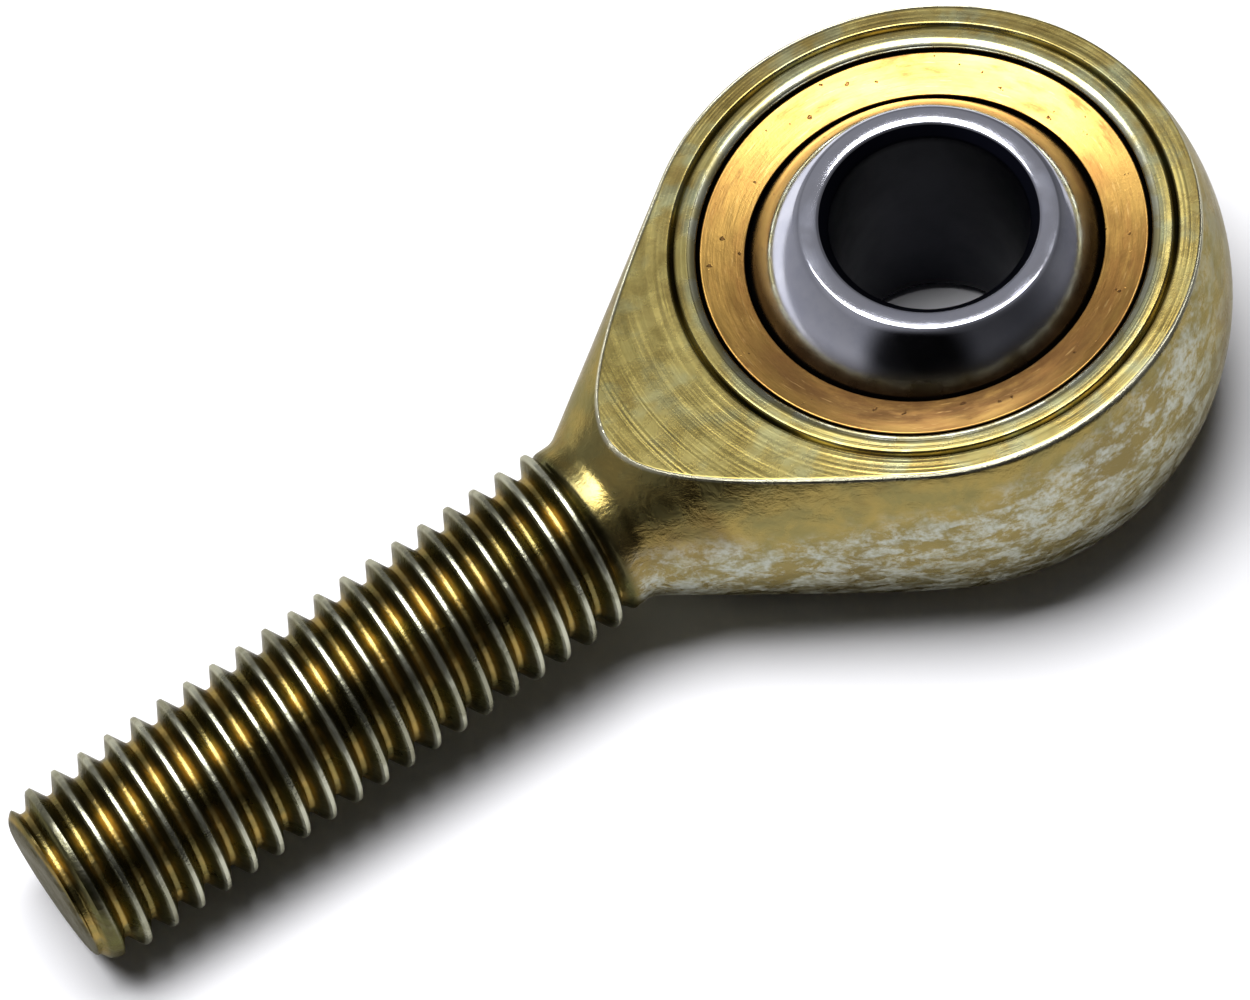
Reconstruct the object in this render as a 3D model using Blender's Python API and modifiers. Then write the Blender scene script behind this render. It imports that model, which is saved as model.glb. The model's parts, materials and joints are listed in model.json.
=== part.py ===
"""Rod end bearing, male, size 8, with a left-hand M8 shank.

A steel eye holds two bronze race halves, staked in from both faces, around a chromed ball.
Grease fills the gap between the race halves, and a flush grease nipple feeds it from the crown.

Frame: metres. The origin is the ball's centre, +Z is the axis of the eye, and the shank runs
along -X. The ball rests at the small tilt that it takes when the part lies on a flat surface
on the ball's lower face and the thread.
"""

import math

import bmesh
import bpy
from mathutils import Vector

MM = 0.001

# Ball, after the metric K series: bore 8, sphere 5/8 inch, width 12.
BORE_RADIUS = 4.0 * MM
BORE_CHAMFER = 0.45 * MM
BALL_RADIUS = 7.9375 * MM
BALL_WIDTH = 12.0 * MM

# Eye
HEAD_RADIUS = 12.0 * MM
HEAD_WIDTH = 9.0 * MM
FLARE_ANGLE = math.radians(33.0)
NECK_RADIUS = 3.65 * MM
NECK_FILLET = 1.0 * MM

# Thread M8 x 1.25, left hand
THREAD_RADIUS = 3.88 * MM
PITCH = 1.25 * MM
CREST_FLAT = PITCH / 8
ROOT_FLAT = PITCH / 5
FLANK_HALF_ANGLE = math.radians(30.0)
SHANK_END = -42.8 * MM
THREAD_TOP = -17.25 * MM
CREST_AT_Y = -41.32 * MM

# Races, their seat and the staking
RACE_RADIUS = 9.2 * MM
RACE_FIT = 0.03 * MM
RACE_RECESS = 0.25 * MM
RACE_DISH = 0.5 * MM
RACE_SPLIT = 0.6 * MM
RACE_CHAMFER = (0.25 * MM, 0.35 * MM)
RACE_MOUTH_RADIUS = 7.21 * MM
RUNNING_GAP = 0.06 * MM
LIP_RADIUS = 9.13 * MM
LIP_CHAMFER = (0.32 * MM, 0.2 * MM)
STAKE_RADIUS = 10.1 * MM
STAKE_HALF_WIDTH = 0.12 * MM
STAKE_DEPTH = 0.4 * MM
GREASE_GAP = 0.08 * MM

# Grease nipple in the crown
NIPPLE_RADIUS = 1.95 * MM
NIPPLE_TOP = 11.85 * MM
NIPPLE_FOOT = 9.75 * MM
NIPPLE_MOUTH_RADIUS = 0.9 * MM
VALVE_SEAT_RADIUS = 0.35 * MM
VALVE_SEAT_X = 11.45 * MM
CHAMBER_RADIUS = 0.68 * MM
CHAMBER_TOP = 11.2 * MM
CHAMBER_FOOT = 10.0 * MM
PASSAGE_RADIUS = 0.3 * MM
CHECK_BALL_RADIUS = 0.5 * MM
VALVE_GAP = 0.02 * MM
SPRING_RADIUS = 0.42 * MM
SPRING_WIRE = 0.06 * MM
SPRING_TURNS = 3

# At rest the eye leans as far to one side as its shank droops, so the ball tilts about a diagonal.
TILT_AXIS = Vector((math.sqrt(0.5), math.sqrt(0.5), 0.0))

STEPS = 48
SMALL_STEPS = 24
BALL_ARC_STEPS = 14
RACE_ARC_STEPS = 7
HEAD_ARC_STEPS = 14
FILLET_STEPS = 3
THREAD_STEPS = 16
SPRING_STEPS = 12
PAST = 2.0 * MM
SHARP = math.radians(28.0)

half_ball = BALL_WIDTH / 2
half_head = HEAD_WIDTH / 2
ball_flat_radius = math.sqrt(BALL_RADIUS**2 - half_ball**2)
race_face = half_head - RACE_RECESS
race_bore = BALL_RADIUS + RUNNING_GAP
seat_radius = RACE_RADIUS + RACE_FIT
thread_depth = (PITCH - CREST_FLAT - ROOT_FLAT) / 2 / math.tan(FLANK_HALF_ANGLE)
core_radius = THREAD_RADIUS - thread_depth
check_ball_x = VALVE_SEAT_X - math.sqrt((CHECK_BALL_RADIUS + VALVE_GAP) ** 2 - VALVE_SEAT_RADIUS**2)


def rest_tilt():
    """The ball's tilt when its lower face and the thread's crests touch one flat surface."""
    reach = -SHANK_END - PITCH
    droop = math.asin(half_ball / math.hypot(reach, THREAD_RADIUS)) - math.atan2(THREAD_RADIUS, reach)
    return math.asin(math.sin(droop) / TILT_AXIS.y)


def clear_scene():
    for obj in list(bpy.data.objects):
        bpy.data.objects.remove(obj)


def make_collection(name, hidden=False):
    collection = bpy.data.collections.new(name)
    bpy.context.scene.collection.children.link(collection)
    collection.hide_render = hidden
    return collection


def material(name, color, metallic, roughness):
    made = bpy.data.materials.new(name)
    made.use_nodes = True
    shader = made.node_tree.nodes["Principled BSDF"]
    shader.inputs["Base Color"].default_value = (*color, 1.0)
    shader.inputs["Metallic"].default_value = metallic
    shader.inputs["Roughness"].default_value = roughness
    return made


def add_object(name, mesh, collection, finish=None):
    obj = bpy.data.objects.new(name, mesh)
    collection.objects.link(obj)
    if finish is None:
        obj.hide_render = True
        obj.display_type = "WIRE"
    else:
        mesh.materials.append(finish)
    return obj


def arc(radius, start, end, steps, center=(0.0, 0.0)):
    """Points (radius out, height) of an arc, its angles measured down from the top of the axis."""
    angles = [start + (end - start) * i / steps for i in range(steps + 1)]
    return [(center[0] + radius * math.sin(a), center[1] + radius * math.cos(a)) for a in angles]


def turned(name, profile, collection, finish=None, steps=STEPS, ring=False, along_x=False):
    """A turned solid. Its profile (radius, height) runs down the outer side; a ring's closes on itself."""
    mesh = bpy.data.meshes.new(name)
    count = len(profile)
    edges = [(i, (i + 1) % count) for i in range(count if ring else count - 1)]
    mesh.from_pydata([(r, 0.0, h) for r, h in profile], edges, [])
    obj = add_object(name, mesh, collection, finish)
    screw = obj.modifiers.new("Turn", "SCREW")
    screw.axis = "Z"
    screw.steps = steps
    screw.render_steps = steps
    screw.use_merge_vertices = True
    screw.merge_threshold = 0.000001
    screw.use_smooth_shade = True
    if along_x:
        obj.rotation_euler = (0.0, math.pi / 2, 0.0)
    return obj


def boolean(obj, operation, other):
    modifier = obj.modifiers.new(other.name, "BOOLEAN")
    modifier.operation = operation
    modifier.object = other
    modifier.solver = "EXACT"


def freeze(obj):
    """Replaces a mesh object's modifiers by their result, and shades the round surfaces smooth."""
    graph = bpy.context.evaluated_depsgraph_get()
    mesh = bpy.data.meshes.new_from_object(obj.evaluated_get(graph))
    obj.modifiers.clear()
    obj.data = mesh
    mesh.shade_smooth()
    mesh.set_sharp_from_angle(angle=SHARP)


def body_profile():
    """Crown, sphere, conical flare tangent to it, fillet, neck, thread core and shank end."""
    slope = math.tan(FLARE_ANGLE)
    tangent_radius = HEAD_RADIUS * math.cos(FLARE_ANGLE)
    tangent_x = -HEAD_RADIUS * math.sin(FLARE_ANGLE)
    fillet_center = NECK_RADIUS + NECK_FILLET
    under_fillet = fillet_center - NECK_FILLET / math.cos(FLARE_ANGLE)
    fillet_x = tangent_x + (under_fillet - tangent_radius) / slope
    points = [(0.0, HEAD_RADIUS)]
    points += arc(HEAD_RADIUS, 0.0, math.pi / 2 + FLARE_ANGLE, HEAD_ARC_STEPS)[1:]
    points += arc(
        NECK_FILLET,
        1.5 * math.pi + FLARE_ANGLE,
        1.5 * math.pi,
        FILLET_STEPS,
        (fillet_center, fillet_x),
    )
    points += [
        (NECK_RADIUS, THREAD_TOP),
        (core_radius, THREAD_TOP - (NECK_RADIUS - core_radius)),
        (core_radius, SHANK_END + 0.2 * MM),
        (core_radius - 0.2 * MM, SHANK_END),
        (0.0, SHANK_END),
    ]
    return points


def thread_envelope(cutters):
    """The thread's outer limits: a rounded start at the shank end, and a run-out into the neck."""
    start = SHANK_END + 0.1 * MM
    return turned(
        "thread_envelope",
        [
            (0.0, THREAD_TOP + 0.6 * MM),
            (NECK_RADIUS - 0.3 * MM, THREAD_TOP + 0.6 * MM),
            (THREAD_RADIUS + 0.1 * MM, THREAD_TOP - 0.1 * MM),
            (THREAD_RADIUS + 0.1 * MM, start + 1.5 * MM),
            (THREAD_RADIUS - 0.1 * MM, start + 1.1 * MM),
            (THREAD_RADIUS - 0.45 * MM, start + 0.2 * MM),
            (core_radius - 0.1 * MM, start),
            (0.0, start),
        ],
        cutters,
        along_x=True,
    )


def thread_ridge(cutters):
    """One left-hand ridge of trapezoid section, its foot sunk in the core."""
    sink = 0.12 * MM
    half_crest = CREST_FLAT / 2
    half_foot = half_crest + (thread_depth + sink) * math.tan(FLANK_HALF_ANGLE)
    turns = math.ceil((THREAD_TOP - SHANK_END) / PITCH) + 2
    start = CREST_AT_Y + PITCH * (turns - 2)
    mesh = bpy.data.meshes.new("thread_ridge")
    shape = bmesh.new()
    section = [
        (start - half_foot, core_radius - sink),
        (start - half_crest, THREAD_RADIUS),
        (start + half_crest, THREAD_RADIUS),
        (start + half_foot, core_radius - sink),
    ]
    verts = [shape.verts.new((x, r, 0.0)) for x, r in section]
    edges = [shape.edges.new((verts[i], verts[(i + 1) % 4])) for i in range(4)]
    steps = turns * THREAD_STEPS
    bmesh.ops.spin(
        shape,
        geom=verts + edges,
        cent=(0.0, 0.0, 0.0),
        axis=(1.0, 0.0, 0.0),
        dvec=(-PITCH / THREAD_STEPS, 0.0, 0.0),
        angle=turns * 2 * math.pi,
        steps=steps,
    )
    ends = [edge for edge in shape.edges if edge.is_boundary]
    bmesh.ops.holes_fill(shape, edges=ends, sides=4)
    bmesh.ops.recalc_face_normals(shape, faces=shape.faces)
    shape.to_mesh(mesh)
    shape.free()
    ridge = add_object("thread_ridge", mesh, cutters)
    boolean(ridge, "INTERSECT", thread_envelope(cutters))
    return ridge


def head_slab(cutters):
    """Everything between the planes of the eye's two milled faces."""
    mesh = bpy.data.meshes.new("head_slab")
    shape = bmesh.new()
    bmesh.ops.create_cube(shape, size=1.0)
    length = HEAD_RADIUS - SHANK_END + 2 * PAST
    bmesh.ops.scale(shape, vec=(length, 2 * HEAD_RADIUS + 2 * PAST, HEAD_WIDTH), verts=shape.verts)
    bmesh.ops.translate(shape, vec=((HEAD_RADIUS + SHANK_END) / 2, 0.0, 0.0), verts=shape.verts)
    shape.to_mesh(mesh)
    shape.free()
    return add_object("head_slab", mesh, cutters)


def seat_cutter(cutters):
    """The race seat, closed in at each face by the staked lip."""
    widen, deep = LIP_CHAMFER
    outside = PAST / deep * widen
    top = [
        (0.0, half_head + PAST),
        (LIP_RADIUS + widen + outside, half_head + PAST),
        (LIP_RADIUS, half_head - deep),
        (seat_radius, race_face - RACE_CHAMFER[1] + RACE_FIT),
    ]
    bottom = [(r, -h) for r, h in reversed(top)]
    return turned("seat_cutter", top + bottom, cutters)


def stake_cutter(name, side, cutters):
    """The V groove that the staking tool leaves round the lip, on one face."""
    proud = 0.2 * MM
    half_width = STAKE_HALF_WIDTH * (STAKE_DEPTH + proud) / STAKE_DEPTH
    groove = turned(
        name,
        [
            (STAKE_RADIUS + half_width, half_head + proud),
            (STAKE_RADIUS, half_head - STAKE_DEPTH),
            (STAKE_RADIUS - half_width, half_head + proud),
        ],
        cutters,
        ring=True,
    )
    if side < 0:
        groove.rotation_euler = (math.pi, 0.0, 0.0)
    return groove


def nipple_cutter(cutters):
    """The blind hole for the nipple, and the passage from it to the gap between the races."""
    foot = NIPPLE_FOOT - RACE_FIT
    radius = NIPPLE_RADIUS + RACE_FIT
    return turned(
        "nipple_cutter",
        [
            (0.0, HEAD_RADIUS + PAST),
            (radius, HEAD_RADIUS + PAST),
            (radius, foot),
            (PASSAGE_RADIUS, foot),
            (PASSAGE_RADIUS, seat_radius - 0.5 * MM),
            (0.0, seat_radius - 0.5 * MM),
        ],
        cutters,
        steps=SMALL_STEPS,
        along_x=True,
    )


def make_body(parts, cutters, finish):
    body = turned("rod_end_body", body_profile(), parts, finish, along_x=True)
    boolean(body, "INTERSECT", head_slab(cutters))
    boolean(body, "DIFFERENCE", seat_cutter(cutters))
    boolean(body, "DIFFERENCE", stake_cutter("upper_stake", 1, cutters))
    boolean(body, "DIFFERENCE", stake_cutter("lower_stake", -1, cutters))
    boolean(body, "DIFFERENCE", nipple_cutter(cutters))
    boolean(body, "UNION", thread_ridge(cutters))
    freeze(body)


def make_race(name, side, parts, finish):
    in_by, down_by = RACE_CHAMFER
    half_split = RACE_SPLIT / 2
    race = turned(
        name,
        [
            (RACE_RADIUS - in_by, race_face),
            (RACE_RADIUS, race_face - down_by),
            (RACE_RADIUS, half_split),
            *arc(
                race_bore,
                math.acos(half_split / race_bore),
                math.asin(RACE_MOUTH_RADIUS / race_bore),
                RACE_ARC_STEPS,
            ),
            (RACE_MOUTH_RADIUS, race_face - RACE_DISH),
        ],
        parts,
        finish,
        ring=True,
    )
    if side < 0:
        race.rotation_euler = (math.pi, 0.0, 0.0)
    freeze(race)


def make_grease(parts, finish):
    outer = seat_radius - GREASE_GAP
    inner = race_bore + GREASE_GAP
    half = RACE_SPLIT / 2 - GREASE_GAP
    grease = turned(
        "grease_ring",
        [(outer, half), (outer, -half), (inner, -half), (inner, half)],
        parts,
        finish,
        ring=True,
    )
    freeze(grease)


def make_ball(parts, finish):
    flat_angle = math.asin(ball_flat_radius / BALL_RADIUS)
    mouth = BORE_RADIUS + BORE_CHAMFER
    ball = turned(
        "ball",
        [
            (mouth, half_ball),
            *arc(BALL_RADIUS, flat_angle, math.pi - flat_angle, BALL_ARC_STEPS),
            (mouth, -half_ball),
            (BORE_RADIUS, BORE_CHAMFER - half_ball),
            (BORE_RADIUS, half_ball - BORE_CHAMFER),
        ],
        parts,
        finish,
        ring=True,
    )
    freeze(ball)
    axis = bpy.data.objects.new("ball_tilt_axis", None)
    axis.empty_display_size = BALL_RADIUS
    axis.rotation_mode = "AXIS_ANGLE"
    axis.rotation_axis_angle = (rest_tilt(), *TILT_AXIS)
    parts.objects.link(axis)
    ball.parent = axis


def make_nipple(parts, finish):
    """The nipple's shell: gun mouth, valve seat, chamber, and the curled foot that holds the spring."""
    foot_radius = SPRING_RADIUS - SPRING_WIRE
    nipple = turned(
        "grease_nipple",
        [
            (NIPPLE_MOUTH_RADIUS, NIPPLE_TOP),
            (NIPPLE_RADIUS - 0.1 * MM, NIPPLE_TOP),
            (NIPPLE_RADIUS, NIPPLE_TOP - 0.1 * MM),
            (NIPPLE_RADIUS, NIPPLE_FOOT),
            (foot_radius, NIPPLE_FOOT),
            (foot_radius, CHAMBER_FOOT),
            (CHAMBER_RADIUS, CHAMBER_FOOT),
            (CHAMBER_RADIUS, CHAMBER_TOP),
            (VALVE_SEAT_RADIUS, VALVE_SEAT_X),
        ],
        parts,
        finish,
        steps=SMALL_STEPS,
        ring=True,
        along_x=True,
    )
    freeze(nipple)


def make_check_ball(parts, finish):
    mesh = bpy.data.meshes.new("nipple_check_ball")
    shape = bmesh.new()
    bmesh.ops.create_uvsphere(shape, u_segments=SMALL_STEPS, v_segments=12, radius=CHECK_BALL_RADIUS)
    shape.to_mesh(mesh)
    shape.free()
    mesh.shade_smooth()
    check_ball = add_object("nipple_check_ball", mesh, parts, finish)
    check_ball.location = (check_ball_x, 0.0, 0.0)


def make_spring(parts, finish):
    """The valve spring, between the nipple's foot and the check ball."""
    touch = math.sqrt(CHECK_BALL_RADIUS**2 - SPRING_RADIUS**2)
    low = CHAMBER_FOOT + SPRING_WIRE + VALVE_GAP
    high = check_ball_x - touch - SPRING_WIRE - 2 * VALVE_GAP
    curve = bpy.data.curves.new("nipple_spring", "CURVE")
    curve.dimensions = "3D"
    curve.bevel_depth = SPRING_WIRE
    curve.bevel_resolution = 2
    curve.use_fill_caps = True
    line = curve.splines.new("POLY")
    count = SPRING_TURNS * SPRING_STEPS
    line.points.add(count)
    for i in range(count + 1):
        turn = 2 * math.pi * i / SPRING_STEPS
        x = low + (high - low) * i / count
        y = SPRING_RADIUS * math.cos(turn)
        z = SPRING_RADIUS * math.sin(turn)
        line.points[i].co = (x, y, z, 1.0)
    spring = bpy.data.objects.new("nipple_spring", curve)
    curve.materials.append(finish)
    parts.objects.link(spring)


def main():
    clear_scene()
    parts = make_collection("rod_end_bearing")
    cutters = make_collection("cutters", hidden=True)
    zinc = material("yellow_zinc_steel", (0.50, 0.42, 0.20), 0.9, 0.35)
    bronze = material("bronze", (0.72, 0.42, 0.16), 1.0, 0.32)
    chrome = material("chromed_steel", (0.62, 0.64, 0.68), 1.0, 0.08)
    grease = material("grease", (0.45, 0.30, 0.08), 0.0, 0.40)
    nickel = material("nipple_steel", (0.58, 0.56, 0.50), 1.0, 0.25)
    spring = material("spring_steel", (0.40, 0.40, 0.42), 1.0, 0.30)
    make_body(parts, cutters, zinc)
    make_race("upper_race", 1, parts, bronze)
    make_race("lower_race", -1, parts, bronze)
    make_grease(parts, grease)
    make_ball(parts, chrome)
    make_nipple(parts, nickel)
    make_check_ball(parts, chrome)
    make_spring(parts, spring)


main()
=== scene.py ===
"""Looks of a male rod end bearing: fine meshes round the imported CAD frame, procedural materials,
a pale floor, a studio light and the camera.

Units are metres, in the CAD frame: the ball's centre is the origin, +Z is the axis of the eye and
the shank runs along -X. MM turns the sizes below into metres.
"""

import json
import math

import bmesh
import bpy
from mathutils import Matrix, Vector, noise


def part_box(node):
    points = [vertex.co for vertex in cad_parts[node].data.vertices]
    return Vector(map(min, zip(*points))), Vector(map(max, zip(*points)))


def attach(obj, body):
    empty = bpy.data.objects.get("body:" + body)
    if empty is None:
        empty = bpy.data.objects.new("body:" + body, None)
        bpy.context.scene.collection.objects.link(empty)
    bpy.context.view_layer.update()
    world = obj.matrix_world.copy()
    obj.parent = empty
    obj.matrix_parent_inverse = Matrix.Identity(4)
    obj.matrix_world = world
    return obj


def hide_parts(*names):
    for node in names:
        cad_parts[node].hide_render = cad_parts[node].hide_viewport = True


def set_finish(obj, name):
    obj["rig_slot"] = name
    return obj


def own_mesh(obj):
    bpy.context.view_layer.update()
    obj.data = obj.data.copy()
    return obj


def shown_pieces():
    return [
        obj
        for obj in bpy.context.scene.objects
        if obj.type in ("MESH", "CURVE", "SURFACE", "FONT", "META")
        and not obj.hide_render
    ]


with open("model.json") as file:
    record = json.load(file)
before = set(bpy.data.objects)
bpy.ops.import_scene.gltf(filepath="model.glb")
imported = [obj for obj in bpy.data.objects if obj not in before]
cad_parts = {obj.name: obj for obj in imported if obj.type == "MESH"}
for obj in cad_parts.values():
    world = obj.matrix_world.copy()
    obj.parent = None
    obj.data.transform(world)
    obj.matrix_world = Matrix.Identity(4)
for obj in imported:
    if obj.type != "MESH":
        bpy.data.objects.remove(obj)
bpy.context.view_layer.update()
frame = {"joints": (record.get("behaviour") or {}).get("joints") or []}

MM = 0.001
WELD = 1e-8

# Sizes read from the frame.
body_low, body_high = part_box("rod_end_body")
race_low, race_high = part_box("upper_race")
nipple_low, nipple_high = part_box("grease_nipple")
grease_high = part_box("grease_ring")[1]
valve_low, valve_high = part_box("nipple_check_ball")
spring_low, spring_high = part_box("nipple_spring")
joints = {joint["name"]: joint for joint in frame["joints"]}
tilt_range = [math.radians(limit) for limit in joints["ball_tilt"]["range_deg"]]
ball_tilt = Matrix.Rotation(-sum(tilt_range) / 2, 4, Vector(joints["ball_tilt"]["axis"]))

half_head = body_high.z
shank_end = body_low.x
race_radius = race_high.x
race_face = race_high.z
half_split = race_low.z

# Sizes of the fine surfaces.
HEAD_RADIUS = 11.99 * MM
FLARE_ANGLE = math.radians(33.0)
EDGE_ROUND = 0.34 * MM
NECK_RADIUS = 3.65 * MM
NECK_FILLET = 1.0 * MM
NECK_END = -16.8 * MM
CORE_TOP = -17.25 * MM
PITCH = 1.25 * MM
THREAD_RADIUS = 3.88 * MM
THREAD_DEPTH = 0.735 * MM
CREST_AT_Y = -41.32 * MM
BALL_RADIUS = 7.9375 * MM
HALF_BALL = 6.0 * MM
BORE_RADIUS = 4.0 * MM
BORE_CHAMFER = 0.45 * MM
RUNNING_GAP = 0.06 * MM
RACE_MOUTH = 7.21 * MM
RACE_DISH = 0.5 * MM
SEAT_RADIUS = 9.23 * MM
LIP_RADIUS = 9.13 * MM
STAKE_RADIUS = 10.1 * MM
NIPPLE_HOLE = 1.98 * MM

HEAD_STEPS = 110
SIDE_STEPS = 46
ROUND_STEPS = 6
TURNED_STEPS = 224
SMALL_STEPS = 72
CORNER_STEPS = 4
SHARP_ANGLE = math.radians(34.0)


# --- mesh helpers -------------------------------------------------------------------------


def new_mesh(name, shape):
    """Closes a bmesh into a smooth-shaded object whose edges over SHARP_ANGLE stay crisp."""
    bmesh.ops.remove_doubles(shape, verts=shape.verts, dist=WELD)
    bmesh.ops.recalc_face_normals(shape, faces=shape.faces)
    mesh = bpy.data.meshes.new(name)
    shape.to_mesh(mesh)
    shape.free()
    mesh.shade_smooth()
    mesh.set_sharp_from_angle(angle=SHARP_ANGLE)
    piece = bpy.data.objects.new(name, mesh)
    bpy.context.scene.collection.objects.link(piece)
    return piece


def new_piece(name, shape, body, node, slot):
    """The piece rides on a body, stands for a CAD node and takes its finish from a slot."""
    piece = new_mesh(name, shape)
    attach(piece, body)
    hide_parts(node)
    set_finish(piece, slot)
    return piece


def add_rows(shape, rows, closed=True):
    """Quads between each row of vertices and the next. A closed row joins its last point to its first."""
    for upper, lower in zip(rows, rows[1:]):
        count = len(upper)
        for i in range(count if closed else count - 1):
            j = (i + 1) % count
            shape.faces.new((upper[i], upper[j], lower[j], lower[i]))


def add_fan(shape, row, point):
    """Triangles from each edge of a closed row to one point."""
    center = shape.verts.new(point)
    for i, vert in enumerate(row):
        shape.faces.new((vert, row[(i + 1) % len(row)], center))


def turned(profile, steps, along_x=False, ring=True):
    """A bmesh turned from (radius, height) points about Z, or about X."""
    shape = bmesh.new()
    rows = []
    for radius, height in profile:
        row = []
        for i in range(steps):
            turn = 2 * math.pi * i / steps
            across, up = radius * math.cos(turn), radius * math.sin(turn)
            place = (height, across, up) if along_x else (across, up, height)
            row.append(shape.verts.new(place))
        rows.append(row)
    add_rows(shape, rows + rows[:1] if ring else rows)
    return shape


def arc(radius, start, end, steps, center=(0.0, 0.0)):
    """Points (radius out, height) of an arc, its angles measured down from the top of the axis."""
    angles = [start + (end - start) * i / steps for i in range(steps + 1)]
    return [(center[0] + radius * math.sin(a), center[1] + radius * math.cos(a)) for a in angles]


def height_on(points, value):
    """The height at value, on straight lines between points given as (value, height)."""
    if value <= points[0][0]:
        return points[0][1]
    for (a, low), (b, high) in zip(points, points[1:]):
        if value <= b:
            return low + (high - low) * (value - a) / (b - a)
    return points[-1][1]


# --- eye and shank ------------------------------------------------------------------------


def outline_radius(turn):
    """Distance from the ball's centre to the edge of the milled face, in a direction round Z."""
    reach = math.sqrt(HEAD_RADIUS**2 - half_head**2)
    if reach * math.cos(turn) >= -HEAD_RADIUS * math.sin(FLARE_ANGLE):
        return reach
    slope = math.tan(FLARE_ANGLE) ** 2
    apex = HEAD_RADIUS / math.sin(FLARE_ANGLE)
    a = math.sin(turn) ** 2 - slope * math.cos(turn) ** 2
    b = -2 * slope * apex * math.cos(turn)
    c = half_head**2 - slope * apex**2
    if abs(a) < 1e-9:
        return -c / b
    roots = [(-b + sign * math.sqrt(b * b - 4 * a * c)) / (2 * a) for sign in (-1, 1)]
    return min(root for root in roots if root > 0)


def side_points(x, radius):
    """Half a cross-section of the head: from its bottom, round the +Y side, to its top."""
    if radius <= half_head + 1e-9:
        low, high, center = -math.pi / 2, math.pi / 2, None
    else:
        across = math.sqrt((radius - EDGE_ROUND) ** 2 - (half_head - EDGE_ROUND) ** 2)
        center = (across, half_head - EDGE_ROUND)
        high = math.atan2(center[1], center[0])
        low = -high
    points = []
    for i in range(SIDE_STEPS + 1):
        if i < ROUND_STEPS or i > SIDE_STEPS - ROUND_STEPS:
            sign = -1 if i < ROUND_STEPS else 1
            share = i / ROUND_STEPS if sign < 0 else (SIDE_STEPS - i) / ROUND_STEPS
            if center is None:
                points.append((x, 0.0, sign * radius))
                continue
            turn = math.pi / 2 + (high - math.pi / 2) * share
            y = center[0] + EDGE_ROUND * math.cos(turn)
            z = center[1] + EDGE_ROUND * math.sin(turn)
            points.append((x, y, sign * z))
        else:
            share = (i - ROUND_STEPS) / (SIDE_STEPS - 2 * ROUND_STEPS)
            turn = low + (high - low) * share
            points.append((x, radius * math.cos(turn), radius * math.sin(turn)))
    return points


def head_stations():
    """(x, radius of the turned form) of each cross-section between the face outline's two ends."""
    found = []
    for i in range(HEAD_STEPS + 1):
        turn = math.pi * i / HEAD_STEPS
        out = outline_radius(turn)
        found.append((out * math.cos(turn), math.hypot(out * math.sin(turn), half_head)))
    return found


def crown_stations():
    """From the nipple's hole out over the crown to the start of the milled faces."""
    first = math.asin(NIPPLE_HOLE / HEAD_RADIUS)
    last = math.asin(half_head / HEAD_RADIUS)
    dome = [(height, radius) for radius, height in arc(HEAD_RADIUS, first, last, 9)]
    mouth = dome[0][0]
    wall = [(nipple_low.x - 0.03 * MM, NIPPLE_HOLE), (mouth - 0.05 * MM, NIPPLE_HOLE)]
    return wall + [(mouth - 0.01 * MM, NIPPLE_HOLE + 0.015 * MM)] + dome[1:]


def neck_stations(head_end):
    """From the end of the milled faces down the flare and the fillet to the neck."""
    slope = math.tan(FLARE_ANGLE)
    center_r = NECK_RADIUS + NECK_FILLET
    tangent_x = -HEAD_RADIUS * math.sin(FLARE_ANGLE)
    tangent_r = HEAD_RADIUS * math.cos(FLARE_ANGLE)
    center_x = tangent_x + (center_r - NECK_FILLET / math.cos(FLARE_ANGLE) - tangent_r) / slope
    fillet = arc(NECK_FILLET, 1.5 * math.pi + FLARE_ANGLE, 1.5 * math.pi, 8, (center_r, center_x))
    found = [(x, r) for r, x in fillet]
    x, r = head_end
    between = [(x + (found[0][0] - x) * i / 5, r + (found[0][1] - r) * i / 5) for i in range(1, 5)]
    return between + found + [(NECK_END, NECK_RADIUS)]


def core_radius(x):
    """Radius at the thread's root, which rises to the neck at one end and rounds off at the other."""
    root = THREAD_RADIUS - THREAD_DEPTH
    points = [
        (shank_end, root - 0.2 * MM),
        (shank_end + 0.06 * MM, root - 0.08 * MM),
        (shank_end + 0.16 * MM, root),
        (CORE_TOP - 0.55 * MM, root),
        (CORE_TOP - 0.08 * MM, NECK_RADIUS - 0.07 * MM),
        (CORE_TOP, NECK_RADIUS - 0.012 * MM),
        (CORE_TOP + 0.12 * MM, NECK_RADIUS),
    ]
    return height_on(points, x)


def crest_limit(x):
    """The rounded start at the shank's end and the run-out at the neck."""
    points = [
        (shank_end, THREAD_RADIUS - THREAD_DEPTH - 0.2 * MM),
        (shank_end + 0.05 * MM, THREAD_RADIUS - 0.78 * MM),
        (shank_end + 0.14 * MM, THREAD_RADIUS - 0.62 * MM),
        (shank_end + 0.30 * MM, THREAD_RADIUS - 0.45 * MM),
        (shank_end + 0.70 * MM, THREAD_RADIUS - 0.25 * MM),
        (shank_end + 1.20 * MM, THREAD_RADIUS - 0.10 * MM),
        (shank_end + 1.90 * MM, THREAD_RADIUS),
        (CORE_TOP - 0.35 * MM, THREAD_RADIUS),
        (CORE_TOP + 0.45 * MM, NECK_RADIUS - 0.2 * MM),
    ]
    return height_on(points, x)


def thread_section():
    """Points (along the axis, depth below the crest) of one pitch, from crest to crest."""
    half = [
        (0.0, 0.0),
        (0.055, 0.002),
        (0.085, 0.012),
        (0.112, 0.055),
        (0.20, 0.208),
        (0.29, 0.364),
        (0.38, 0.520),
        (0.46, 0.655),
        (0.50, 0.708),
        (0.55, 0.730),
        (0.625, 0.735),
    ]
    half = [(x * MM, depth * MM) for x, depth in half]
    back = [(PITCH - x, depth) for x, depth in reversed(half[1:-1])]
    return half + back


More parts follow.
